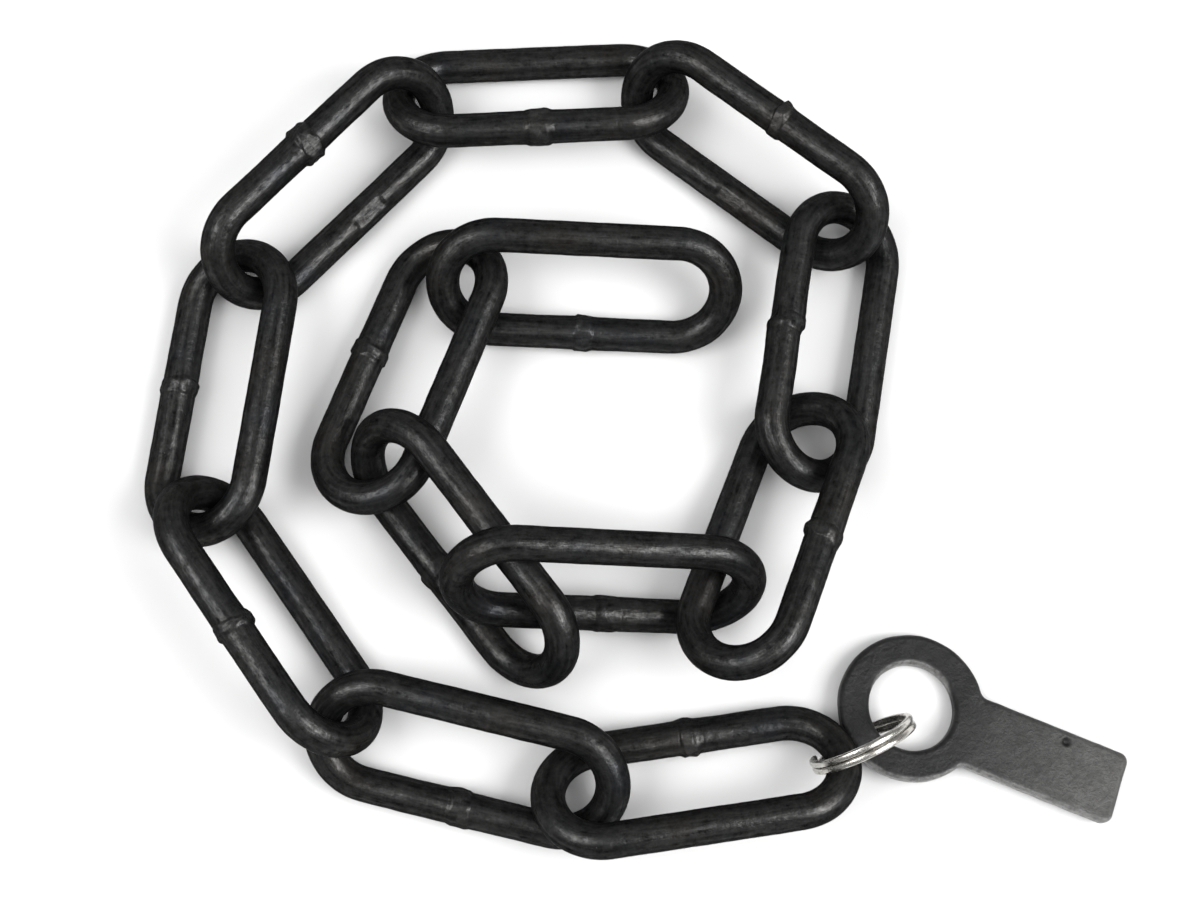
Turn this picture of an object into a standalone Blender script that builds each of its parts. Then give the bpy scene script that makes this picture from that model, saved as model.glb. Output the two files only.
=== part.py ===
"""Heap of iron chain: thirteen welded long links laid in an inward spiral,
with a split ring and a forged tag on the outer end link."""

from math import atan2, cos, degrees, radians, sin, sqrt

import bmesh
import bpy
from mathutils import Matrix, Vector

MM = 0.001

# Link: one round bar bent into a long oval and butt welded in the middle of one side.
BAR_D = 8.0 * MM
LINK_LENGTH = 75.0 * MM
LINK_WIDTH = 32.5 * MM
BEND_R = (LINK_WIDTH - BAR_D) / 2
HALF_STRAIGHT = (LINK_LENGTH - BAR_D) / 2 - BEND_R
BEND_STEPS = 10
BAR_BEVEL_RESOLUTION = 4

# Weld collar: a raised band round the bar, given as (place along it, share of its height).
COLLAR_D = 9.2 * MM
COLLAR_HALF = 3.2 * MM
COLLAR_PROFILE = [(-1.0, 0.0), (-0.65, 0.65), (-0.3, 1.0), (0.3, 1.0), (0.65, 0.65), (1.0, 0.0)]

# Split ring: spring wire wound twice, each turn flat, joined by a short jog. The wire runs
# over RING_SWEEP and jogs over RING_JOG, in degrees past the seam at RING_SEAM.
RING_OD = 25.4 * MM
RING_WIRE_D = 1.5 * MM
RING_PITCH = 1.7 * MM
RING_SEAM = 246.0
RING_SWEEP = (36.0, 684.0)
RING_JOG = (330.0, 390.0)
RING_STEPS = 54

# Tag: a round eye with a straight tab, all edges rounded.
EYE_R = 17.0 * MM
EYE_HOLE_R = 10.0 * MM
TAB_WIDTH = 17.0 * MM
TAB_END = 51.0 * MM
TAB_CORNER_R = 2.2 * MM
NECK_R = 2.5 * MM
TAG_THICKNESS = 4.0 * MM
TAG_EDGE_R = 1.3 * MM

# How each link lies: centre x and y in mm, then heading, lean and pitch in degrees.
# Heading is the way the chain runs, lean lifts the outer bar of the spiral (the inner
# bar when negative) and pitch lifts the leading end. The last two values say which bar
# carries the weld (+1 outer, -1 inner) and how far it sits from the middle, in mm.
LINKS = [
    ("link_01", 21.0, -77.5, -172.0, 34.0, 1.0, -1, 0.0),
    ("link_02", -30.5, -72.5, 166.0, -30.0, -2.0, 1, -1.0),
    ("link_03", -75.0, -40.0, 125.0, 53.0, 1.0, 1, 0.5),
    ("link_04", -88.5, 13.0, 82.5, -26.0, -1.0, 1, 0.5),
    ("link_05", -64.0, 63.0, 46.0, 50.0, 0.0, 1, 1.0),
    ("link_06", -15.0, 87.5, 3.0, -28.0, 0.0, -1, 0.0),
    ("link_07", 37.0, 70.0, -38.0, 52.0, 2.0, 1, 1.5),
    ("link_08", 54.5, 25.5, -100.5, -26.0, 2.0, -1, 0.0),
    ("link_09", 39.5, -21.5, -112.0, 32.0, 11.0, 1, -1.0),
    ("link_10", 0.5, -33.5, 179.0, -61.0, 11.0, 1, -2.0),
    ("link_11", -31.5, -25.5, 127.5, -55.0, 3.5, 1, 0.0),
    ("link_12", -44.5, 18.0, 69.0, -25.0, -5.0, 1, 1.5),
    ("link_13", -3.5, 37.5, -2.0, 43.0, -2.0, -1, 0.0),
]

# The ring stands on its edge, leaning a little. The tag is tilted about a level line,
# which lifts its rim beside the end link.
RING_X, RING_Y = 58.5, -69.5
RING_HEADING, RING_LEAN = 26.0, 8.0
TAG_X, TAG_Y = 71.5, -61.0
TAG_HEADING = -22.0
TAG_TILT, TAG_FALL = 6.5, 60.0

STEEL = (0.045, 0.043, 0.042)
TAG_GREY = (0.075, 0.075, 0.074)
NICKEL = (0.74, 0.72, 0.68)


def material(name, colour, roughness, metallic):
    mat = bpy.data.materials.new(name)
    mat.use_nodes = True
    shader = mat.node_tree.nodes["Principled BSDF"]
    shader.inputs["Base Color"].default_value = (*colour, 1.0)
    shader.inputs["Roughness"].default_value = roughness
    shader.inputs["Metallic"].default_value = metallic
    return mat


def arc(cx, cy, r, start, end, steps):
    """Points on an arc between two angles in degrees, both ends included."""
    for i in range(steps + 1):
        a = radians(start + (end - start) * i / steps)
        yield Vector((cx + r * cos(a), cy + r * sin(a), 0.0))


def tube(name, points, factors, radius, resolution, cyclic):
    """A round bar along the points, its radius scaled at each one."""
    curve = bpy.data.curves.new(name, "CURVE")
    curve.dimensions = "3D"
    curve.bevel_depth = radius
    curve.bevel_resolution = resolution
    curve.use_fill_caps = True
    spline = curve.splines.new("POLY")
    spline.points.add(len(points) - 1)
    for knot, p, factor in zip(spline.points, points, factors):
        knot.co = (*p, 1.0)
        knot.radius = factor
    spline.use_cyclic_u = cyclic
    spline.use_smooth = True
    return bpy.data.objects.new(name, curve)


def link_path(weld_side, weld_x):
    """Closed centreline of a link with its radius factors: a bend and a bar, twice."""
    points, factors = [], []
    for side in (1, -1):
        start = -90.0 if side > 0 else 90.0
        bend = list(arc(side * HALF_STRAIGHT, 0.0, BEND_R, start, start + 180.0, BEND_STEPS))
        points += bend
        factors += [1.0] * len(bend)
        profile = COLLAR_PROFILE if side == weld_side else [(0.0, 0.0)]
        for along, height in profile:
            x = (weld_x if side == weld_side else 0.0) - side * along * COLLAR_HALF
            points.append(Vector((x, side * BEND_R, 0.0)))
            factors.append(1.0 + height * (COLLAR_D / BAR_D - 1.0))
    return points, factors


def split_ring_path():
    """Two flat turns of wire in the XZ plane, side by side, with a jog between them."""
    mean_r = (RING_OD - RING_WIRE_D) / 2
    points = []
    for i in range(RING_STEPS + 1):
        sweep = RING_SWEEP[0] + (RING_SWEEP[1] - RING_SWEEP[0]) * i / RING_STEPS
        t = min(max((sweep - RING_JOG[0]) / (RING_JOG[1] - RING_JOG[0]), 0.0), 1.0)
        shift = RING_PITCH * (t * t * (3.0 - 2.0 * t) - 0.5)
        a = radians(RING_SEAM + sweep)
        points.append(Vector((mean_r * cos(a), shift, mean_r * sin(a))))
    return points


def tag_outline():
    """Outer edge of the tag: the eye, a small fillet into each side of the tab, its end."""
    half = TAB_WIDTH / 2
    # Fillet between the eye's circle and the tab's straight side.
    fy = half + NECK_R
    fx = sqrt((EYE_R + NECK_R) ** 2 - fy ** 2)
    neck = degrees(atan2(fy, fx))
    c = TAB_CORNER_R
    outline = list(arc(0.0, 0.0, EYE_R, neck, 360.0 - neck, 40))
    outline += list(arc(fx, -fy, NECK_R, 180.0 - neck, 90.0, 4))
    outline += list(arc(TAB_END - c, -half + c, c, -90.0, 0.0, 5))
    outline += list(arc(TAB_END - c, half - c, c, 0.0, 90.0, 5))
    outline += list(arc(fx, fy, NECK_R, 270.0, 180.0 + neck, 4))
    return outline


def plate(name, outlines, thickness, edge_r):
    """A flat plate with holes, its edges rounded."""
    curve = bpy.data.curves.new(name, "CURVE")
    curve.dimensions = "2D"
    curve.fill_mode = "BOTH"
    curve.extrude = thickness / 2
    for outline in outlines:
        spline = curve.splines.new("POLY")
        spline.points.add(len(outline) - 1)
        for knot, p in zip(spline.points, outline):
            knot.co = (*p, 1.0)
        spline.use_cyclic_u = True
    flat = bpy.data.objects.new(name + "_flat", curve)
    parts.objects.link(flat)
    mesh = bpy.data.meshes.new_from_object(flat.evaluated_get(bpy.context.evaluated_depsgraph_get()))
    bpy.data.objects.remove(flat)
    bm = bmesh.new()
    bm.from_mesh(mesh)
    bmesh.ops.remove_doubles(bm, verts=bm.verts, dist=0.01 * MM)
    bmesh.ops.recalc_face_normals(bm, faces=bm.faces)
    # Each flat side becomes a few many-sided faces, with no thin triangles in them.
    bmesh.ops.dissolve_limit(bm, angle_limit=radians(0.5), verts=bm.verts, edges=bm.edges)
    bm.to_mesh(mesh)
    bm.free()
    mesh.name = name
    obj = bpy.data.objects.new(name, mesh)
    bevel = obj.modifiers.new("rounded edges", "BEVEL")
    bevel.width = edge_r
    bevel.segments = 3
    bevel.limit_method = "ANGLE"
    bevel.angle_limit = radians(40.0)
    bevel.use_clamp_overlap = False
    cut = obj.modifiers.new("even triangles", "TRIANGULATE")
    cut.quad_method = "BEAUTY"
    cut.ngon_method = "BEAUTY"
    mesh.shade_smooth()
    return obj


def world_points(obj):
    bpy.context.view_layer.update()
    shape = obj.evaluated_get(bpy.context.evaluated_depsgraph_get())
    return [shape.matrix_world @ v.co for v in shape.to_mesh().vertices]


def lay(obj, x, y, turn, mat):
    """Turn a piece, set it on the floor with its lowest point, and give it its material."""
    obj.data.materials.append(mat)
    parts.objects.link(obj)
    obj.parent = frame
    obj.rotation_euler = turn.to_euler()
    obj.location = (x * MM, y * MM, 0.0)
    obj.location.z = -min(p.z for p in world_points(obj))


for old in list(bpy.data.objects):
    bpy.data.objects.remove(old)

parts = bpy.data.collections.new("heap_of_iron_chain")
bpy.context.scene.collection.children.link(parts)
frame = bpy.data.objects.new("chain_frame", None)
parts.objects.link(frame)

steel = material("blackened_steel", STEEL, 0.5, 0.85)
for name, x, y, heading, lean, pitch, weld_side, weld_x in LINKS:
    points, factors = link_path(weld_side, weld_x * MM)
    turn = (Matrix.Rotation(radians(heading), 3, "Z") @ Matrix.Rotation(-radians(pitch), 3, "Y")
            @ Matrix.Rotation(radians(lean), 3, "X"))
    lay(tube(name, points, factors, BAR_D / 2, BAR_BEVEL_RESOLUTION, True), x, y, turn, steel)

wire = split_ring_path()
turn = Matrix.Rotation(radians(RING_HEADING), 3, "Z") @ Matrix.Rotation(radians(RING_LEAN), 3, "X")
lay(tube("split_ring", wire, [1.0] * len(wire), RING_WIRE_D / 2, 2, False), RING_X, RING_Y, turn,
    material("nickel_plate", NICKEL, 0.2, 1.0))

hole = list(arc(0.0, 0.0, EYE_HOLE_R, 360.0, 12.0, 29))
level = Vector((-sin(radians(TAG_FALL)), cos(radians(TAG_FALL)), 0.0))
turn = Matrix.Rotation(radians(TAG_TILT), 3, level) @ Matrix.Rotation(radians(TAG_HEADING), 3, "Z")
lay(plate("tag", [tag_outline(), hole], TAG_THICKNESS, TAG_EDGE_R), TAG_X, TAG_Y, turn,
    material("forged_tag_steel", TAG_GREY, 0.6, 0.7))

# The frame puts the middle of the heap's footprint at the origin, with the floor at z = 0.
corners = [p for obj in parts.objects if obj is not frame for p in world_points(obj)]
frame.location = (-(min(p.x for p in corners) + max(p.x for p in corners)) / 2,
                  -(min(p.y for p in corners) + max(p.y for p in corners)) / 2, 0.0)
bpy.context.view_layer.update()
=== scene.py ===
import bpy
import numpy as np
from mathutils import Matrix, Vector


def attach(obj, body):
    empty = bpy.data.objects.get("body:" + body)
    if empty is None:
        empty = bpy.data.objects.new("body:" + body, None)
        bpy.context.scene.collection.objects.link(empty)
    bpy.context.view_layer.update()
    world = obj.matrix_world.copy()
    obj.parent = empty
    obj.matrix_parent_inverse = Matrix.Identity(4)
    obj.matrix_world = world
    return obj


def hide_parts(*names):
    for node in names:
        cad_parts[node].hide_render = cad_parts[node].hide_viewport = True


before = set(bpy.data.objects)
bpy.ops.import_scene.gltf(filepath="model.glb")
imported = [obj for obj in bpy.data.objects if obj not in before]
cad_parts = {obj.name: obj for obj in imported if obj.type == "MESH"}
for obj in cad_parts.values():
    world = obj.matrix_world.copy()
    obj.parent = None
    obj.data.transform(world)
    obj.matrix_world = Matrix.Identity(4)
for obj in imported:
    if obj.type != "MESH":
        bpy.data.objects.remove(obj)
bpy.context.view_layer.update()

# Links
# Thirteen long ovals of 8 mm steel bar, each bent shut and butt welded in the middle of one
# side, in black mill scale. Each weld is a lumpy swelling, trimmed flat on the link's two
# faces, and the welding dies left flat grips on the far bar.
BAR_R = 4.0
LINK_LENGTH, LINK_WIDTH = 75.0, 32.5
BEND_R = LINK_WIDTH / 2 - BAR_R
HALF_STRAIGHT = LINK_LENGTH / 2 - BAR_R - BEND_R
LINK_GIRTH = 4 * HALF_STRAIGHT + 2 * np.pi * BEND_R

# How each link lies: centre x and y in mm, then heading, lean and pitch in degrees.
LINKS = [
    ("link_01", 21.0, -77.5, -172.0, 34.0, 1.0),
    ("link_02", -30.5, -72.5, 166.0, -30.0, -2.0),
    ("link_03", -75.0, -40.0, 125.0, 53.0, 1.0),
    ("link_04", -88.5, 13.0, 82.5, -26.0, -1.0),
    ("link_05", -64.0, 63.0, 46.0, 50.0, 0.0),
    ("link_06", -15.0, 87.5, 3.0, -28.0, 0.0),
    ("link_07", 37.0, 70.0, -38.0, 52.0, 2.0),
    ("link_08", 54.5, 25.5, -100.5, -26.0, 2.0),
    ("link_09", 39.5, -21.5, -112.0, 32.0, 11.0),
    ("link_10", 0.5, -33.5, 179.0, -61.0, 11.0),
    ("link_11", -31.5, -25.5, 127.5, -55.0, 3.5),
    ("link_12", -44.5, 18.0, 69.0, -25.0, -5.0),
    ("link_13", -3.5, 37.5, -2.0, 43.0, -2.0),
]

# Each link's weld, in mm: its bar (+1 outer, -1 inner) and place along it, its rise away
# from the window and into it, half its flat length, its slant, and how far the bar's two
# ends miss each other.
WELDS = [
    (-1, 0.0, 0.30, 0.55, 1.0, 0.3, 0.08),
    (1, -1.0, 0.25, 0.40, 1.3, 0.4, 0.10),
    (1, 0.5, 0.30, 0.95, 0.6, -0.3, 0.10),
    (1, 0.5, 0.30, 0.35, 0.9, 0.4, 0.14),
    (1, 1.0, 0.60, 0.75, 1.1, -0.5, 0.06),
    (-1, 0.0, 0.40, 0.45, 1.6, 0.1, 0.06),
    (1, 1.5, 0.55, 0.30, 0.7, 0.4, 0.06),
    (-1, 0.0, 0.12, 0.22, 0.6, -0.3, 0.66),
    (1, -1.0, 0.30, 0.60, 0.6, -0.7, 0.10),
    (1, -2.4, 0.15, 0.20, 1.5, 0.0, 0.04),
    (1, 0.0, 0.35, 0.40, 1.0, 0.4, 0.08),
    (1, 1.5, 0.35, 0.32, 1.2, -0.3, 0.10),
    (-1, 0.0, 0.35, 0.45, 0.9, 0.0, 0.06),
]

# The grips on each link's far bar, in mm: their place along it, half length and depth.
GRIPS = [
    (1.0, 4.0, 0.06),
    (-1.0, 3.5, 0.08),
    (2.0, 4.0, 0.07),
    (0.0, 4.0, 0.06),
    (2.6, 4.2, 0.42),
    (1.5, 3.0, 0.08),
    (0.9, 3.5, 0.36),
    (-2.0, 4.0, 0.07),
    (-0.5, 3.0, 0.10),
    (-3.0, 3.0, 0.12),
    (0.0, 4.0, 0.08),
    (1.0, 4.0, 0.08),
    (0.4, 3.3, 0.14),
]

# The bar's unevenness as (height, length) in mm. In the bends its section bulges on the
# link's two faces and flattens outside and inside, from BEND_EASE before the bend's start
# to as much behind it.
BAR_WAVES, BAR_RIPPLES = (0.030, 8.0), (0.014, 2.6)
BEND_BULGE, BEND_FLATTENING, BEND_EASE = 0.035, 0.07, 4.0

# What the welds have in common, in mm: the soft swell under each (height, half length), the
# slope of its two ends (least, most), the unevenness of its edges, slopes, top and crease
# (height, length), the step between the bar's ends (half length, reach), and the crease at
# its foot (depth, half width).
SWELL_RISE, SWELL_HALF = 0.10, 4.5
END_SLOPE = (0.8, 1.8)
EDGE_WANDER, SLOPE_CHANGE, TOP_LUMPS, CREASE_BREAKS = (0.45, 4.0), (0.15, 3.0), (0.30, 3.2), (1.2, 6.0)
STEP_HALF, STEP_REACH = 0.4, 12.0
CREASE_DEPTH, CREASE_HALF = 0.05, 0.35

# Flat cuts, in mm and radians: those that trim the weld lie this far outside the bar
# (least, most), on the link's faces and on all four sides, each turned by up to CUT_TURN.
# The grips lie GRIP_TURN round the bar from the outside of the oval, and end over GRIP_END.
# A cut reaches round the bar as far as the cosine from its middle is above CUT_REACH.
FACE_CUTS, SIDE_CUTS, CUT_TURN = (0.08, 0.28), (0.45, 0.95), 0.3
GRIP_TURN, GRIP_END = np.radians(106.0), 0.5
CUT_REACH, UNCUT = 0.3, 99.0
CUT_GRAIN = (0.02, 3.0)

# Dents 0.5 to 1.6 mm across and scratches up to 5.6 mm long: the least and the most of
# place along and around, half width, stretch along the bar, and depth.
MARKS = 40
MARK_LEAST = (0.0, 0.0, 0.25, 1.0, 0.02)
MARK_MOST = (LINK_GIRTH, 2 * np.pi, 0.8, 3.5, 0.09)

# The scale is rubbed where a weld stands more than WELD_RUB_FROM above the bar, fully
# WELD_RUB_OVER higher, and by GRIP_RUB where a grip is cut GRIP_RUB_DEPTH deep.
WELD_RUB_FROM, WELD_RUB_OVER = 0.25, 0.6
GRIP_RUB, GRIP_RUB_DEPTH = 0.1, 0.2

# Places are in mm from a point on the table near the middle of the view. The heap's own
# origin, the middle of its footprint, lies at HEAP_MIDDLE in that measure.
MM = 0.001
HEAP_MIDDLE = np.array([7.556, 4.459, 0.0])


def to_heap(place):
    """The place in mm less HEAP_MIDDLE, in metres."""
    return (np.asarray(place, float) - HEAP_MIDDLE) * MM


def turned(axis, degrees):
    """The 3 by 3 matrix of a turn about an axis."""
    return np.array(Matrix.Rotation(np.radians(degrees), 3, axis))


def ease(t):
    """0 below 0, 1 above 1, and 3t^2 - 2t^3 between them."""
    t = np.clip(t, 0.0, 1.0)
    return t * t * (3.0 - 2.0 * t)


def unevenness(place, height, length, seed):
    """Smooth noise, mostly within the height up and down: the scaled sum of 24 sine waves
    that cross the place in random directions, each 0.6 to 1.6 times the length long."""
    count = 24
    draw = np.random.default_rng(seed)
    way = draw.normal(size=(count, 3))
    way *= 2 * np.pi / (np.linalg.norm(way, axis=1) * length * draw.uniform(0.6, 1.6, count))[:, None]
    phase = draw.uniform(0, 2 * np.pi, count)
    return height * (np.sin(place @ way.T + phase).sum(-1) * 0.6 * np.sqrt(2.0 / count))


def skin(name, points, closed):
    """A closed surface from a grid of points (along, around): one four-sided face between
    each point and its next ones, round the grid, and along it too if it is closed.
    Otherwise a fan of triangles about the mean of each end ring closes that end. The faces
    look outward because the rings run against the clock, seen along the grid's way."""
    n, m = points.shape[:2]
    i = np.arange(n if closed else n - 1)[:, None]
    j = np.arange(m)[None, :]
    here, ahead, right = i * m, (i + 1) % n * m, (j + 1) % m
    corners = np.stack(np.broadcast_arrays(here + j, ahead + j, ahead + right, here + right), -1)
    corners = corners.reshape(-1)
    starts = np.arange(len(corners) // 4) * 4
    flat = points.reshape(-1, 3)
    if not closed:
        flat = np.vstack([flat, points[[0, -1]].mean(1)])
        k = np.arange(m)
        first = np.stack([k, (k + 1) % m, np.full(m, n * m)], -1)
        last = np.stack([(k + 1) % m + (n - 1) * m, k + (n - 1) * m, np.full(m, n * m + 1)], -1)
        starts = np.concatenate([starts, len(corners) + 3 * np.arange(2 * m)])
        corners = np.concatenate([corners, first.reshape(-1), last.reshape(-1)])
    mesh = bpy.data.meshes.new(name)
    mesh.vertices.add(len(flat))
    mesh.vertices.foreach_set("co", flat.astype(np.float32).reshape(-1))
    mesh.loops.add(len(corners))
    mesh.loops.foreach_set("vertex_index", corners.astype(np.int32))
    mesh.polygons.add(len(starts))
    mesh.polygons.foreach_set("loop_start", starts.astype(np.int32))
    mesh.update(calc_edges=True)
    mesh.shade_smooth()
    piece = bpy.data.objects.new(name, mesh)
    bpy.context.scene.collection.objects.link(piece)
    return piece


def note(piece, name, values):
    """Keeps a number or a place for each point of the mesh, for the finish to read."""
    kind, field = ("FLOAT_VECTOR", "vector") if values.ndim == 2 else ("FLOAT", "value")
    layer = piece.data.attributes.new(name, kind, "POINT")
    layer.data.foreach_set(field, values.astype(np.float32).reshape(-1))


def oval(s):
    """Place and outward direction at the distance s along the oval from the middle of its
    +Y bar: half a bar, a half circle, a bar, a half circle and half a bar."""
    s = s % LINK_GIRTH
    bend = np.pi * BEND_R
    ends = np.cumsum([HALF_STRAIGHT, bend, 2 * HALF_STRAIGHT, bend])
    leg = np.searchsorted(ends, s, side="right")
    into = s - np.concatenate([[0.0], ends])[leg]
    turn = np.choose(leg, [0 * s, into / BEND_R, 0 * s + np.pi, np.pi + into / BEND_R, 0 * s])
    hub = np.choose(leg, [-into, 0 * s - HALF_STRAIGHT, into - HALF_STRAIGHT, 0 * s + HALF_STRAIGHT,
                          HALF_STRAIGHT - into])
    out = np.stack([-np.sin(turn), np.cos(turn), 0 * turn], -1)
    return np.stack([hub, 0 * hub, 0 * hub], -1) + BEND_R * out, out


def plain_bar(number, a, centre, plain):
    """The bar's radius: BAR_R, in the bends more by the bulge times the sine squared and less
    by the flattening times the cosine squared of the angle round the bar, and uneven."""
    in_bend = ease((np.abs(centre[:, 0]) - HALF_STRAIGHT + BEND_EASE) / (2 * BEND_EASE))[:, None]
    r = BAR_R + in_bend * (BEND_BULGE * np.sin(a) ** 2 - BEND_FLATTENING * np.cos(a) ** 2)
    return r + unevenness(plain, *BAR_WAVES, 200 + number) + unevenness(plain, *BAR_RIPPLES, 300 + number)


def weld_on(r, number, draw, a, plain, from_weld, rise_out, rise_in, half_top, slant, miss):
    """Adds the weld to the radius: a bell-shaped swell and a lumpy plateau with eased ends,
    its height a cosine round the bar from rise_out to rise_in. Flat cuts, each its own
    distance over the cosine of the angle from its middle, trim it. The bar's ends part by
    a tanh step, and a narrow bell-shaped crease runs along the weld's foot."""
    at = from_weld - slant * np.cos(a) - unevenness(plain, *EDGE_WANDER, 400 + number)
    steep = np.where(at < 0, draw.uniform(*END_SLOPE), draw.uniform(*END_SLOPE))
    edge = steep + unevenness(plain, *SLOPE_CHANGE, 500 + number)
    top = (rise_out + rise_in) / 2 + (rise_out - rise_in) / 2 * np.cos(a)
    top = top * (1.0 + unevenness(plain, *TOP_LUMPS, 600 + number))
    band = ease((half_top + edge - np.abs(at)) / edge)
    lump = band * top + SWELL_RISE * np.exp(-(from_weld / SWELL_HALF) ** 2)

    middles = np.pi / 2 * np.array([1, 3, 0, 1, 2, 3]) + draw.uniform(-CUT_TURN, CUT_TURN, 6)
    cuts = BAR_R + np.concatenate([draw.uniform(*FACE_CUTS, 2), draw.uniform(*SIDE_CUTS, 4)])
    away = np.cos(a[..., None] - middles)
    trimmed = np.where(away > CUT_REACH, cuts / np.maximum(away, CUT_REACH), UNCUT).min(-1)
    trimmed = trimmed + unevenness(plain, *CUT_GRAIN, 650 + number)
    r = np.where(r + lump > trimmed, np.maximum(trimmed, r), r + lump)

    step = np.tanh(at / STEP_HALF) * ease((STEP_REACH - np.abs(at)) / STEP_REACH)
    r = r + miss / 2 * np.cos(a) * step
    crease = ease(0.5 + unevenness(plain, *CREASE_BREAKS, 700 + number))
    r = r - CREASE_DEPTH * crease * np.exp(-((np.abs(at) - half_top - edge) / CREASE_HALF) ** 2)
    return r, lump


def grips_on(r, number, a, centre, plain, side, grip_x, grip_half, grip_depth):
    """Cuts the die's grips into the radius of the far bar, one flat on each of the link's
    faces: its distance over the cosine of the angle from its middle. Also how much of a
    grip each point has, from 0 to 1."""
    on_far_bar = (centre[:, 1] * side < 0)[:, None]
    grip = on_far_bar * ease((grip_half + GRIP_END - np.abs(centre[:, :1] - grip_x)) / GRIP_END)
    flat = BAR_R - grip_depth + unevenness(plain, *CUT_GRAIN, 750 + number)
    from_outside = np.pi - np.abs(a - np.pi)
    flat = flat / np.maximum(np.cos(from_outside - GRIP_TURN), CUT_REACH)
    share = grip * ease((BAR_R + CUT_GRAIN[0] - flat) / GRIP_RUB_DEPTH)
    return r - grip * np.maximum(r - flat, 0.0), share


def marks_on(r, draw, s, a):
    """Sinks dents and scratches into the radius: bell-shaped dips, round or drawn out along
    the bar, at random places."""
    for place, across, size, longer, depth in draw.uniform(MARK_LEAST, MARK_MOST, (MARKS, 5)):
        ds = ((s - place + LINK_GIRTH / 2) % LINK_GIRTH - LINK_GIRTH / 2)[:, None] / longer
        da = BAR_R * ((a - across + np.pi) % (2 * np.pi) - np.pi)
        r = r - depth * np.exp(-(ds ** 2 + da ** 2) / size ** 2)
    return r


def link_skin(number, weld, grip, along, around):
    """Round each point of the oval a circle of the bar's radius with its weld, grips and
    marks. Each kind of unevenness has its own seeds, one for each link. Also each point's
    place on the straightened bar, and how much it is rubbed."""
    side, weld_place, *weld_form = weld
    draw = np.random.default_rng(100 + number)
    t = np.arange(along) / along
    # The rows lie closer near the weld, which is at t = 0.
    s = LINK_GIRTH * (t - 0.6 * np.sin(2 * np.pi * t) / (2 * np.pi))
    from_weld = np.where(s > LINK_GIRTH / 2, s - LINK_GIRTH, s)[:, None]
    centre, out = oval(s + (-weld_place if side > 0 else LINK_GIRTH / 2 + weld_place))
    a = (2 * np.pi * np.arange(around) / around)[None, :]
    spoke = np.cos(a)[..., None] * out[:, None] + np.sin(a)[..., None] * np.array([0.0, 0.0, 1.0])
    plain = centre[:, None] + BAR_R * spoke

    r = plain_bar(number, a, centre, plain)
    r, lump = weld_on(r, number, draw, a, plain, from_weld, *weld_form)
    r, gripped = grips_on(r, number, a, centre, plain, side, *grip)
    r = marks_on(r, draw, s, a)
    on_bar = np.stack(np.broadcast_arrays(s[:, None], BAR_R * np.cos(a), BAR_R * np.sin(a)), -1)
    rubbed = ease((lump - WELD_RUB_FROM) / WELD_RUB_OVER) + GRIP_RUB * gripped
    return centre[:, None] + r[..., None] * spoke, on_bar, np.clip(rubbed, 0.0, 1.0)


class Finish:
    """A surface finish: the shader of one material, and the patterns that feed it."""

    def __init__(self, name, metallic):
        """A new material with one shader, plain but for its share of metal."""
        self.material = bpy.data.materials.new(name)
        self.material.use_nodes = True
        self.tree = self.material.node_tree
        self.shader = self.tree.nodes["Principled BSDF"]
        self.shader.inputs["Metallic"].default_value = metallic

    def feed(self, socket, value):
        """Links another node's output to the socket, or sets a plain number or colour."""
        if isinstance(value, bpy.types.NodeSocket):
            self.tree.links.new(value, socket)
        elif isinstance(value, tuple):
            socket.default_value = (*value, 1.0)
        else:
            socket.default_value = value

    def set(self, **sockets):
        """Feeds the shader's sockets of these names, with _ for each space."""
        for name, value in sockets.items():
            self.feed(self.shader.inputs[name.replace("_", " ")], value)

    def noted(self, name, output="Fac"):
        """The number noted on the piece under this name, or as a Vector the place."""
        node = self.tree.nodes.new("ShaderNodeAttribute")
        node.attribute_name = name
        return node.outputs[output]

    def place(self, name, stretch=(1.0, 1.0, 1.0)):
        """The place noted on the piece under this name, times the stretch."""
        node = self.tree.nodes.new("ShaderNodeMapping")
        node.inputs["Scale"].default_value = stretch
        self.tree.links.new(self.noted(name, "Vector"), node.inputs["Vector"])
        return node.outputs["Vector"]

    def noise(self, place, per_mm, detail, roughness):
        """Cloudy noise around 0.5, with so many clouds to each mm of the place."""
        node = self.tree.nodes.new("ShaderNodeTexNoise")
        for name, value in (("Scale", per_mm), ("Detail", detail), ("Roughness", roughness),
                            ("Vector", place)):
            self.feed(node.inputs[name], value)
        return node.outputs["Fac"]

    def span(self, value, low, high, to_low=0.0, to_high=1.0):
        """The stretch from low to high, brought to the one from to_low to to_high."""
        node = self.tree.nodes.new("ShaderNodeMapRange")
        for socket, number in zip(node.inputs, (value, low, high, to_low, to_high)):
            self.feed(socket, number)
        return node.outputs["Result"]

    def math(self, operation, a, b):
        """The sum, difference, product or larger one of two numbers."""
        node = self.tree.nodes.new("ShaderNodeMath")
        node.operation = operation
        self.feed(node.inputs[0], a)
        self.feed(node.inputs[1], b)
        return node.outputs["Value"]

    def blend(self, share, a, b):
        """Colour a where the share is 0 and colour b where it is 1."""
        node = self.tree.nodes.new("ShaderNodeMix")
        node.data_type = "RGBA"
        for index, value in ((0, share), (6, a), (7, b)):
            self.feed(node.inputs[index], value)
        return node.outputs[2]

    def relief(self, height, depth, under=None):
        """Fine relief: raised by the depth in metres where the height is 1."""
        node = self.tree.nodes.new("ShaderNodeBump")
        node.inputs["Distance"].default_value = depth
        self.tree.links.new(height, node.inputs["Height"])
        if under is not None:
            self.tree.links.new(under, node.inputs["Normal"])
        return node.outputs["Normal"]


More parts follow.
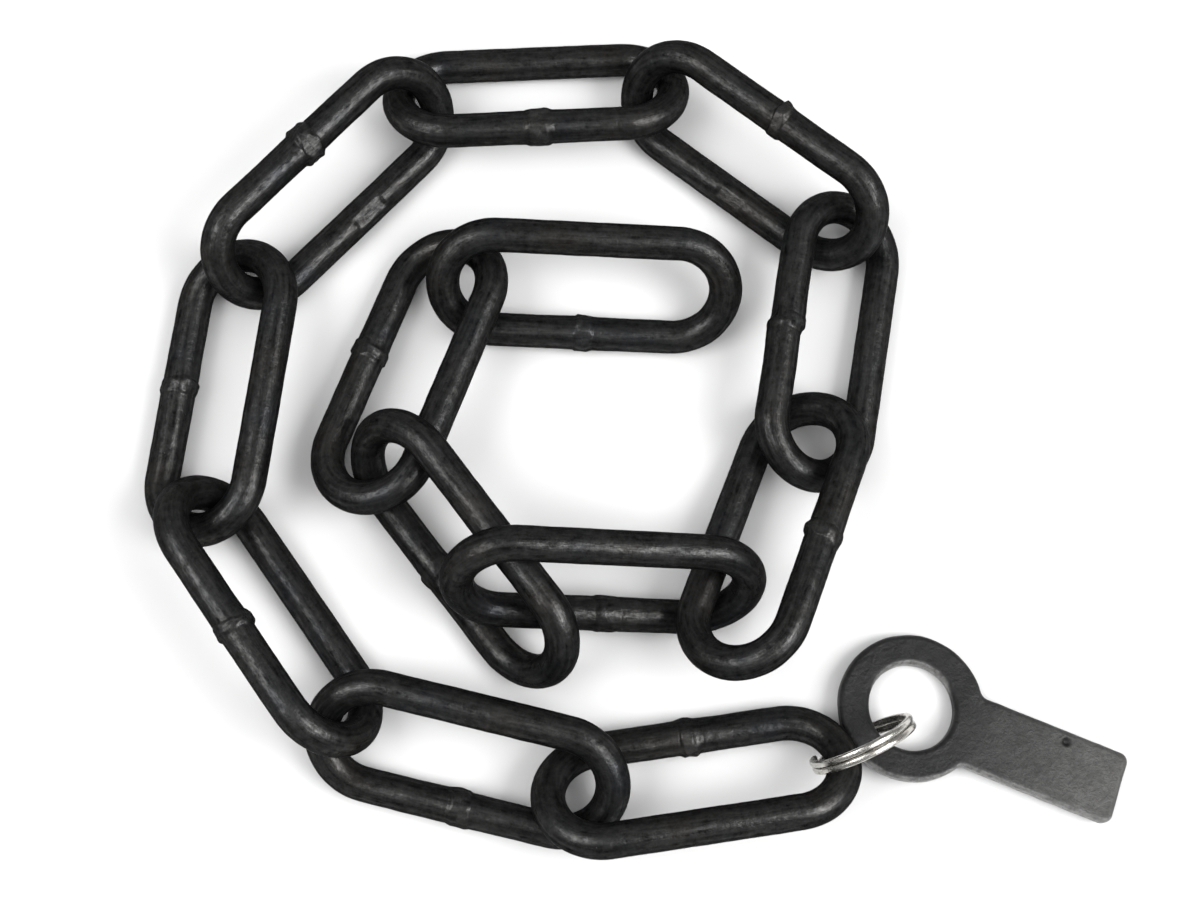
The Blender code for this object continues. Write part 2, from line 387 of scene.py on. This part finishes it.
# Mill scale: black with a soft sheen, faintly mottled and streaked along the bar, with a
# breath of brown and blue, rubbed a little brighter on the welds, and a few bright pinpoints.
SCALE_BLACK = (0.0080, 0.0080, 0.0079)
SCALE_GREY = (0.061, 0.0608, 0.0599)
SCALE_BROWN = (0.050, 0.043, 0.037)
SCALE_BLUE = (0.030, 0.034, 0.042)
RUBBED_STEEL = (0.13, 0.129, 0.127)

scale = Finish("black_mill_scale", metallic=0.85)
mottle = scale.noise(scale.place("on_link"), per_mm=0.50, detail=4.0, roughness=0.62)
flecks = scale.noise(scale.place("on_bar", (0.42, 1.0, 1.0)), per_mm=1.5, detail=3.0, roughness=0.60)
streaks = scale.noise(scale.place("on_bar", (0.10, 1.0, 1.0)), per_mm=1.0, detail=3.0, roughness=0.60)
grains = scale.noise(scale.place("on_link"), per_mm=2.4, detail=3.0, roughness=0.60)
heat = scale.noise(scale.place("on_link"), per_mm=0.07, detail=2.0, roughness=0.50)
pinpoints = scale.noise(scale.place("on_link"), per_mm=1.5, detail=2.0, roughness=0.7)

coarse = scale.math("MULTIPLY", scale.math("ADD", streaks, mottle), 0.36)
fine = scale.math("MULTIPLY", scale.math("ADD", flecks, grains), 0.14)
colour = scale.blend(scale.span(scale.math("ADD", coarse, fine), 0.38, 0.63), SCALE_BLACK, SCALE_GREY)
colour = scale.blend(scale.span(heat, 0.54, 0.72, 0.0, 0.20), colour, SCALE_BROWN)
colour = scale.blend(scale.span(heat, 0.46, 0.30, 0.0, 0.25), colour, SCALE_BLUE)
specks = scale.span(pinpoints, 0.73, 0.79)
rubbed = scale.math("MULTIPLY", scale.noted("rubbed"), scale.span(grains, 0.30, 0.70, 0.08, 0.26))
worn = scale.span(scale.math("ADD", mottle, flecks), 0.80, 1.20, 0.43, 0.31)
# The black specular tint keeps the flanks of the bar dark.
scale.set(
    Base_Color=scale.blend(scale.math("MAXIMUM", specks, rubbed), colour, RUBBED_STEEL),
    Roughness=scale.math("ADD", worn, scale.math("MULTIPLY", scale.noted("rubbed"), 0.08)),
    Specular_IOR_Level=0.2,
    Specular_Tint=(0.0, 0.0, 0.0),
    Normal=scale.relief(flecks, 0.00004, scale.relief(streaks, 0.00006, scale.relief(mottle, 0.00015))),
)

# The links' patterns are shifted this far from one link to the next, so that no two match.
PATTERN_SHIFT = 300.0

for number, ((node, x, y, heading, lean, pitch), weld, grip) in enumerate(zip(LINKS, WELDS, GRIPS)):
    points, on_bar, rubbed_share = link_skin(number, weld, grip, along=500, around=56)
    lying = points @ (turned("Z", heading) @ turned("Y", -pitch) @ turned("X", lean)).T
    lying += (x, y, -lying[..., 2].min())
    link = skin(node + "_bar", to_heap(lying), closed=True)
    note(link, "on_bar", (on_bar + (PATTERN_SHIFT * number, 0.0, 0.0)).reshape(-1, 3))
    note(link, "on_link", points.reshape(-1, 3) + PATTERN_SHIFT * number)
    note(link, "rubbed", rubbed_share.reshape(-1))
    link.data.materials.append(scale.material)
    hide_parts(node)
    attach(link, "root")

# Split ring
# Two turns of spring wire, bright nickel plated, each turn flat and joined to the next by
# a short jog. It is wound on cold, sprung through the end link, and carries the tag.
RING_OD, RING_PITCH = 25.4, 1.66
WIRE_HALF_HIGH, WIRE_HALF_WIDE, WIRE_SQUARENESS = 0.76, 0.79, 2.8

# The cut ends start at this size and grow by the rest over WIRE_END.
WIRE_END, WIRE_END_SIZE, WIRE_END_GROWTH = 0.35, 0.70, 0.30

# Degrees round the ring: where the count starts, from where to where in it the wire runs,
# and where it jogs. Then where the ring stands, in mm, with its heading and lean.
RING_SEAM, RING_SWEEP, RING_JOG = 246.0, (36.0, 684.0), (330.0, 390.0)
RING_X, RING_Y, RING_HEADING, RING_LEAN = 58.5, -69.5, 26.0, 8.0
NICKEL = (0.60, 0.585, 0.55)
TARNISH = (0.26, 0.24, 0.20)


def wire_skin(steps, around):
    """A section whose radius makes |cos|^p + |sin|^p equal 1, where p is WIRE_SQUARENESS. It
    is carried twice round a circle, eased sideways by one pitch on the way and drawn in at
    the two cut ends by a quarter circle. Also each point's place on the straightened wire."""
    sweep = np.linspace(*RING_SWEEP, steps)
    sideways = RING_PITCH * (ease((sweep - RING_JOG[0]) / (RING_JOG[1] - RING_JOG[0])) - 0.5)
    a = np.radians(RING_SEAM + sweep)
    out = np.stack([np.cos(a), 0 * a, np.sin(a)], -1)
    across = np.array([0.0, 1.0, 0.0])
    mean_r = RING_OD / 2 - WIRE_HALF_HIGH
    from_end = np.minimum(sweep - RING_SWEEP[0], RING_SWEEP[1] - sweep) * np.radians(mean_r)
    inward = 1.0 - np.clip(from_end / WIRE_END, 0.0, 1.0)
    size = WIRE_END_SIZE + WIRE_END_GROWTH * np.sqrt(1.0 - inward ** 2)
    b = -2 * np.pi * np.arange(around) / around
    p = WIRE_SQUARENESS
    r = (np.abs(np.cos(b)) ** p + np.abs(np.sin(b)) ** p) ** (-1 / p)
    high, wide = WIRE_HALF_HIGH * r * np.cos(b), WIRE_HALF_WIDE * r * np.sin(b)
    section = high[None, :, None] * out[:, None] + wide[None, :, None] * across
    on_wire = np.stack(np.broadcast_arrays(mean_r * a[:, None], high[None, :], wide[None, :]), -1)
    return (mean_r * out + sideways[:, None] * across)[:, None] + size[:, None, None] * section, on_wire


points, on_wire = wire_skin(steps=700, around=24)
points = points @ (turned("Z", RING_HEADING) @ turned("X", RING_LEAN)).T
points += (RING_X, RING_Y, -points[..., 2].min())
ring = skin("split_ring_wire", to_heap(points), closed=False)
note(ring, "on_wire", np.vstack([on_wire.reshape(-1, 3), on_wire[[0, -1]].mean(1)]))

plating = Finish("bright_nickel", metallic=1.0)
drawn = plating.noise(plating.place("on_wire", (0.04, 1.0, 1.0)), per_mm=5.0, detail=4.0, roughness=0.6)
spots = plating.noise(plating.place("on_wire"), per_mm=0.8, detail=4.0, roughness=0.65)
plating.set(
    Base_Color=plating.blend(plating.span(spots, 0.50, 0.72, 0.0, 0.9), NICKEL, TARNISH),
    Roughness=plating.span(plating.math("ADD", drawn, spots), 0.7, 1.3, 0.14, 0.36),
    Normal=plating.relief(drawn, 0.00004, plating.relief(spots, 0.00008)),
)
ring.data.materials.append(plating.material)
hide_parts("split_ring")
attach(ring, "root")

# Tag
# A forged plate with a round eye and a straight tab, its edges rounded by tumbling, in
# matte dark grey. Its face is bare but for one punch mark. The ring holds it by the eye.
EYE_R, EYE_HOLE_R = 17.0, 10.0
TAB_WIDTH, TAB_END, TAB_CORNER_R, NECK_R = 17.0, 51.0, 2.2, 2.5
TAG_THICKNESS, TAG_EDGE_R = 4.0, 1.3
PUNCH_X, PUNCH_Y, PUNCH_R, PUNCH_DEPTH, PUNCH_LIP = 36.0, 5.8, 1.15, 0.75, 0.08

# The unevenness of its faces and edges, as (height, length) in mm.
FACE_WAVES, FACE_RIPPLES, EDGE_WAVES = (0.05, 9.0), (0.02, 2.8), (0.05, 6.0)

# Where its eye's middle lies, in mm, its heading, and its tilt towards the way TAG_FALL.
TAG_X, TAG_Y, TAG_HEADING = 71.5, -61.0, -22.0
TAG_TILT, TAG_FALL = 6.5, 60.0


def tag_edge(steps):
    """The tag's outline in even steps from the middle of the tab's end: half the end, a
    corner, a side, the neck's fillet and half the eye, then their mirror image back."""
    half, c = TAB_WIDTH / 2, TAB_CORNER_R
    fy = half + NECK_R
    fx = np.sqrt((EYE_R + NECK_R) ** 2 - fy ** 2)
    neck = np.arctan2(fy, fx)

    def arc(x, y, r, start, end):
        """Points of the circle of radius r about x, y, from one angle to the other."""
        a = np.linspace(start, end, 200)
        return np.stack([x + r * np.cos(a), y + r * np.sin(a)], -1)

    upper = np.vstack([[[TAB_END, 0.0]],
                       arc(TAB_END - c, half - c, c, 0.0, np.pi / 2),
                       arc(fx, fy, NECK_R, -np.pi / 2, neck - np.pi),
                       arc(0.0, 0.0, EYE_R, neck, np.pi)])
    line = np.vstack([upper, upper[-2::-1] * (1.0, -1.0)])
    run = np.concatenate([[0.0], np.cumsum(np.linalg.norm(np.diff(line, axis=0), axis=1))])
    at = run[-1] * np.arange(steps) / steps
    return np.stack([np.interp(at, run, line[:, 0]), np.interp(at, run, line[:, 1])], -1)


def from_punch(place):
    """Distance across the tag from the middle of the punch mark, in radii of the mark."""
    return np.hypot(place[..., 0] - PUNCH_X, place[..., 1] - PUNCH_Y) / PUNCH_R


def tag_skin(rays, over, under):
    """Rays run from the hole to the outline, each at the outline point's own angle. Round
    each goes the plate's section: a flat top and underside and two walls whose corners
    are quarter circles. The punch mark is a round dip in the top, eased out from 0.15 to
    1.15 of its radius, with a low bell-shaped lip round it."""
    outer = tag_edge(rays)
    ahead = np.roll(outer, -1, 0) - np.roll(outer, 1, 0)
    normal = np.stack([ahead[:, 1], -ahead[:, 0]], -1) / np.linalg.norm(ahead, axis=1)[:, None]
    inward = outer / np.linalg.norm(outer, axis=1)[:, None]
    e, h = TAG_EDGE_R, TAG_THICKNESS / 2
    q = np.linspace(0, np.pi / 2, 9)
    in_from_edge = np.concatenate([[0.0], e - e * np.cos(q)])
    height = np.concatenate([[0.0], h - e + e * np.sin(q)])

    def walls(edge, way):
        """The upper half of a wall: straight up from the edge, then a quarter circle in."""
        flat = edge[:, None] + in_from_edge[None, :, None] * way[:, None]
        return np.concatenate([flat, np.broadcast_to(height[None, :, None], flat.shape[:2] + (1,))], -1)

    def face(steps, z):
        """The flat face at the height z, in even steps from the outer wall to the inner."""
        t = np.linspace(0, 1, steps + 2)[1:-1]
        rim, foot = outer - e * normal, (EYE_HOLE_R + e) * inward
        flat = rim[:, None] + (foot - rim)[:, None] * t[None, :, None]
        return np.concatenate([flat, np.full(flat.shape[:2] + (1,), z)], -1)

    outside, inside = walls(outer, -normal), walls(EYE_HOLE_R * inward, inward)
    down = np.array([1.0, 1.0, -1.0])
    points = np.concatenate([outside, face(over, h), inside[:, ::-1], inside[:, 1:] * down,
                             face(under, -h)[:, ::-1], outside[:, :0:-1] * down], 1)
    plain = points.copy()
    points[..., 2] += unevenness(plain, *FACE_WAVES, 901) + unevenness(plain, *FACE_RIPPLES, 902)
    points[..., 0] += unevenness(plain, *EDGE_WAVES, 903)
    points[..., 1] += unevenness(plain, *EDGE_WAVES, 904)
    off = from_punch(plain)
    dip = ease(1.15 - off) * PUNCH_DEPTH - PUNCH_LIP * np.exp(-((off - 1.35) / 0.25) ** 2)
    points[..., 2] -= np.where(plain[..., 2] > h - 0.01, dip, 0.0)
    return points, plain


points, on_tag = tag_skin(rays=480, over=104, under=10)
level = Vector((-np.sin(np.radians(TAG_FALL)), np.cos(np.radians(TAG_FALL)), 0.0))
points = points @ (turned(level, TAG_TILT) @ turned("Z", TAG_HEADING)).T
points += (TAG_X, TAG_Y, -points[..., 2].min())
tag = skin("tag_plate", to_heap(points), closed=True)
note(tag, "on_tag", on_tag.reshape(-1, 3))

# The tab is paler than the eye, from TAB_PALE_FROM along it over TAB_PALE_OVER. The edges
# that face the near side carry a painted highlight, the light from that side painted as a lighter grey,
# but not those of the punch mark, whose dip has painted shade.
TAB_PALE_FROM, TAB_PALE_OVER = 11.0, 38.0
note(tag, "tab_share", np.clip((on_tag[..., 0] - TAB_PALE_FROM) / TAB_PALE_OVER, 0.0, 1.0).reshape(-1))
facing = np.cross(np.gradient(points, axis=0), np.gradient(points, axis=1))
facing /= np.linalg.norm(facing, axis=-1, keepdims=True)
off_punch = from_punch(on_tag)
# Painted highlight: the edges that face the near side get a lighter colour for the light falling from
# that side.
note(tag, "painted_edge_light", (ease((-facing[..., 1] - 0.15) / 0.35) * (off_punch > 2.0)).reshape(-1))
# Painted shade: the punch mark's dip is marked to be painted nearly black.
note(tag, "painted_punch_shade", (ease(1.5 - off_punch) * (on_tag[..., 2] > 0)).reshape(-1))

FORGED_BLACK = (0.0083, 0.0083, 0.0083)
FORGED_GREY = (0.0155, 0.0155, 0.0155)
TAB_BLACK = (0.046, 0.046, 0.0447)
TAB_GREY = (0.081, 0.081, 0.0784)
# The painted highlight's colour on the near-side edges.
LIT_EDGE_GREY = (0.180, 0.180, 0.176)
forged = Finish("tumbled_forging", metallic=0.4)
sand = forged.noise(forged.place("on_tag"), per_mm=2.2, detail=3.0, roughness=0.65)
pits = forged.noise(forged.place("on_tag"), per_mm=0.9, detail=4.0, roughness=0.65)
cloud = forged.noise(forged.place("on_tag"), per_mm=0.16, detail=4.0, roughness=0.6)
tone = forged.span(forged.math("ADD", sand, forged.math("ADD", cloud, pits)), 1.20, 1.80)
face = forged.blend(forged.noted("tab_share"), forged.blend(tone, FORGED_BLACK, FORGED_GREY),
                    forged.blend(tone, TAB_BLACK, TAB_GREY))
# Painted highlight on the near-side edges: a lighter grey and a glossier surface.
rim = forged.math("MULTIPLY", forged.noted("painted_edge_light"), forged.span(pits, 0.38, 0.58, 0.45, 1.0))
# Painted shade in the punch mark's dip, blended 0.85 of the way to FORGED_BLACK.
face = forged.blend(forged.math("MULTIPLY", forged.noted("painted_punch_shade"), 0.85), face, FORGED_BLACK)
rough = forged.span(cloud, 0.35, 0.65, 0.52, 0.40)
forged.set(
    Base_Color=forged.blend(rim, face, LIT_EDGE_GREY),
    Roughness=forged.math("SUBTRACT", rough, forged.math("MULTIPLY", rim, 0.18)),
    Specular_IOR_Level=0.35,
    Normal=forged.relief(sand, 0.00014, forged.relief(pits, 0.00022, forged.relief(cloud, 0.00040))),
)
tag.data.materials.append(forged.material)
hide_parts("tag")
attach(tag, "root")

# Table
# A plain table top in matte white paint, 5 m square, so that its edges are far away. The
# heap lies loose on it.
TABLE_HALF = 2.5
WHITE_PAINT = (0.595, 0.595, 0.595)
corners = [(-TABLE_HALF, -TABLE_HALF, 0), (TABLE_HALF, -TABLE_HALF, 0), (TABLE_HALF, TABLE_HALF, 0),
           (-TABLE_HALF, TABLE_HALF, 0)]
table = bpy.data.objects.new("table_top", bpy.data.meshes.new("table_top"))
table.data.from_pydata(corners, [], [(0, 1, 2, 3)])
paint = Finish("white_table", metallic=0.0)
paint.set(Base_Color=WHITE_PAINT, Roughness=0.8, Specular_IOR_Level=0.15)
table.data.materials.append(paint.material)
bpy.context.scene.collection.objects.link(table)

# Light
# Two soft boxes stand to the right and the left of the camera and draw the glints along
# the bars, the right one nearly twice as bright. A wide, weak light overhead and a grey
# room keep the shadows pale. Each light has its place and width in metres, and its watts.
SOFT_BOXES = [
    ("soft_box_right", (0.60, -0.24, 0.78), 0.54, 10.6),
    ("soft_box_left", (-0.58, -0.13, 0.81), 0.54, 6.0),
    ("overhead_fill", (0.0, 0.1, 1.4), 2.4, 26.0),
]
ROOM_BRIGHTNESS = 0.28
for name, place, width, power in SOFT_BOXES:
    lamp = bpy.data.lights.new(name, "AREA")
    lamp.shape = "SQUARE"
    lamp.size = width
    lamp.energy = power
    box = bpy.data.objects.new(name, lamp)
    box.location = place
    box.rotation_euler = Vector(place).to_track_quat("Z", "Y").to_euler()
    box.visible_glossy = name != "overhead_fill"
    bpy.context.scene.collection.objects.link(box)
room = bpy.data.worlds.new("grey_room")
room.use_nodes = True
room.node_tree.nodes["Background"].inputs["Color"].default_value = (1.0, 1.0, 1.0, 1.0)
room.node_tree.nodes["Background"].inputs["Strength"].default_value = ROOM_BRIGHTNESS
bpy.context.scene.world = room
bpy.context.scene.view_settings.view_transform = "Standard"

# View
# The camera looks down on the table from the near side, 12.5 degrees off the upright, so
# near that the raised bars look larger. Its aim and distance are in mm, and its picture is
# 1200 pixels wide.
VIEW_AIM = np.array([0.28, 0.88, 0.0])
VIEW_DISTANCE = 426.9
VIEW_TILT, VIEW_SIDE = np.radians([12.48, -1.85])
PIXELS_PER_MM, PICTURE_WIDTH, SENSOR_WIDTH = 4.179, 1200, 36.0
back = Vector((np.sin(VIEW_SIDE), -np.sin(VIEW_TILT) * np.cos(VIEW_SIDE),
               np.cos(VIEW_TILT) * np.cos(VIEW_SIDE)))
right = (Vector((1.0, 0.0, 0.0)) - back * back.x).normalized()
camera = bpy.data.objects.new("view_from_above", bpy.data.cameras.new("view_from_above"))
camera.data.sensor_width = SENSOR_WIDTH
camera.data.lens = SENSOR_WIDTH * PIXELS_PER_MM * VIEW_DISTANCE / PICTURE_WIDTH
camera.data.clip_start, camera.data.clip_end = 0.01, 20.0
camera.matrix_world = (Matrix.Translation(to_heap(VIEW_AIM + VIEW_DISTANCE * np.array(back)))
                       @ Matrix((right, back.cross(right), back)).transposed().to_4x4())
bpy.context.scene.collection.objects.link(camera)
bpy.context.scene.camera = camera
